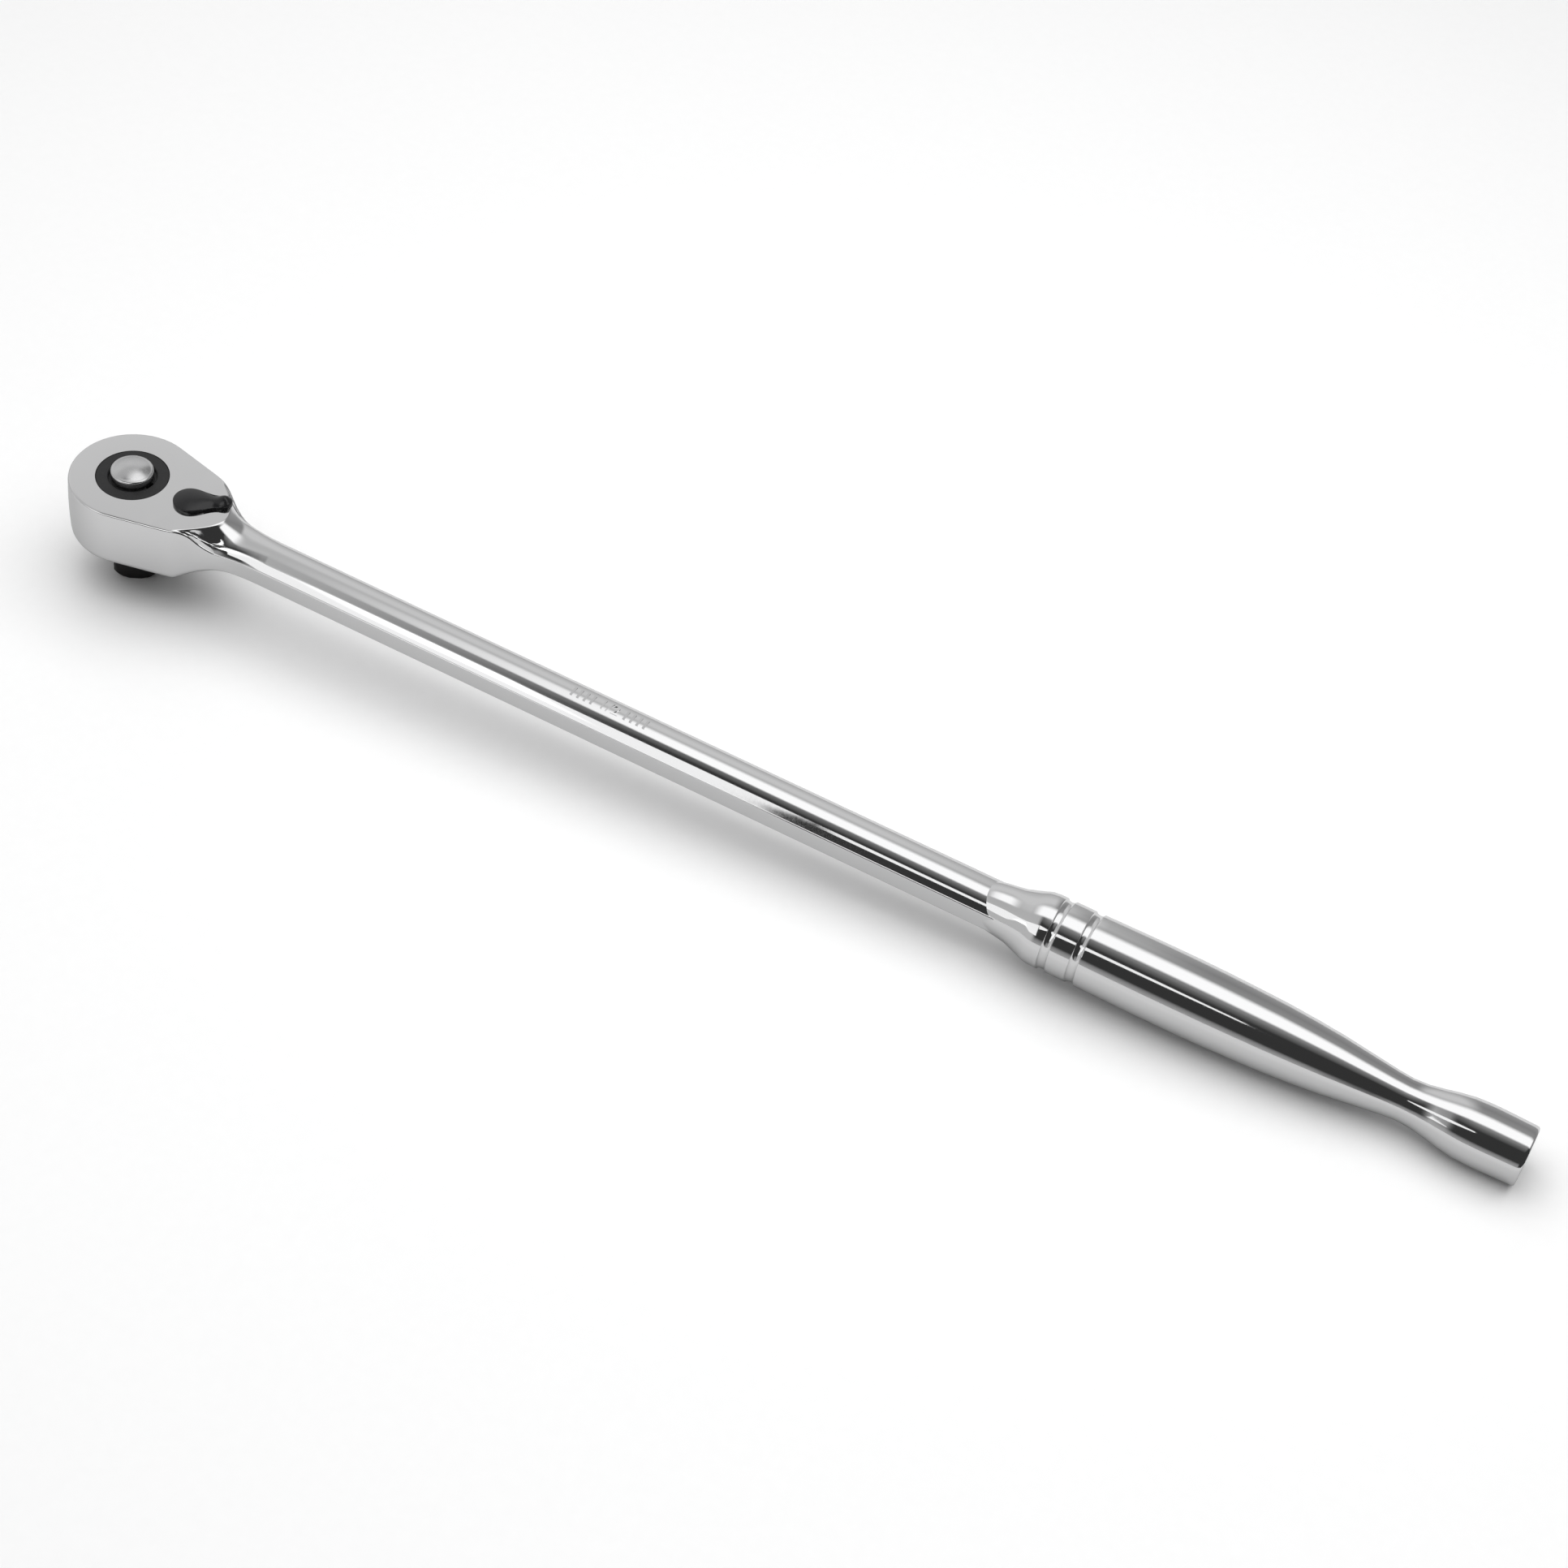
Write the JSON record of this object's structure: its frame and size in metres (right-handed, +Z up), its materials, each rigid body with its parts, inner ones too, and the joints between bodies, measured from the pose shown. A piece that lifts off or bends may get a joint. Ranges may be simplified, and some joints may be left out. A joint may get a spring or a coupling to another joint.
{
  "type": "ratchet wrench",
  "caption": "Extra-long pear-head ratchet wrench with a square drive, quick-release button, reversing lever and contoured round grip.",
  "frame": {"origin": "on the drive axis, in the shoulder plane where a socket's mouth seats", "axes": "+X along the handle to its end, +Z up towards the release button, square drive towards -Z"},
  "size_m": [0.4572, 0.0376, 0.0394],
  "materials": {
    "chrome_body": "polished chrome plate, satin head faces",
    "black_steel": "black oxide, matte",
    "gloss_black": "black, glossy",
    "chrome_button": "brushed chrome",
    "bright_steel": "ground steel",
    "spring_steel": "oiled spring steel",
    "dark_steel": "hardened, oiled",
    "seal_rubber": "black nitrile"
  },
  "bodies": {
    "handle": {"forged_body": "chrome_body", "cover_plate": "black_steel", "cover_screws": "black_steel", "thrust_washer": "bright_steel", "drag_washer": "spring_steel", "pawl_pin": "bright_steel"},
    "drive": {"drive_gear": "black_steel", "upper_seal_ring": "seal_rubber", "lower_seal_ring": "seal_rubber", "button_spring": "spring_steel", "button_snap_ring": "black_steel"},
    "button": {"release_button": "chrome_button", "release_pin": "bright_steel"},
    "ball": {"detent_ball": "bright_steel"},
    "lever": {"reversing_lever": "gloss_black", "lever_snap_ring": "spring_steel", "lever_seal_ring": "seal_rubber", "plunger_spring": "spring_steel"},
    "plunger": {"pawl_plunger": "bright_steel"},
    "pawl": {"pawl": "dark_steel"}
  },
  "joints": [
    {"name": "drive_spin", "type": "hinge", "parent": "handle", "child": "drive", "pos_m": [0, 0, 0], "axis": [0, 0, 1], "continuous": true},
    {"name": "button_press", "type": "slide", "parent": "drive", "child": "button", "axis": [0, 0, -1], "range_m": [0, 0.0024], "stiffness_N_per_m": 400, "springref_m": -0.004, "deforming": ["button_spring"]},
    {"name": "ball_retract", "type": "slide", "parent": "drive", "child": "ball", "axis": [-0.866, -0.5, 0], "range_m": [0, 0.0007]},
    {"name": "lever_throw", "type": "hinge", "parent": "handle", "child": "lever", "pos_m": [0.0204, 0, 0.0201], "axis": [0, 0, 1], "range_deg": [-60, 0]},
    {"name": "pawl_rock", "type": "hinge", "parent": "handle", "child": "pawl", "pos_m": [0.0146, 0, 0.01], "axis": [0, 0, 1], "range_deg": [0, 8]},
    {"name": "plunger_press", "type": "slide", "parent": "lever", "child": "plunger", "axis": [0.866, 0.5, 0], "range_m": [0, 0.0008], "stiffness_N_per_m": 300, "springref_m": -0.002, "deforming": ["plunger_spring"]}
  ],
  "couplings": [
    {"joint": "ball_retract", "follows": "button_press", "ratio": 0.29167},
    {"joint": "pawl_rock", "follows": "lever_throw", "ratio": -0.13333}
  ]
}
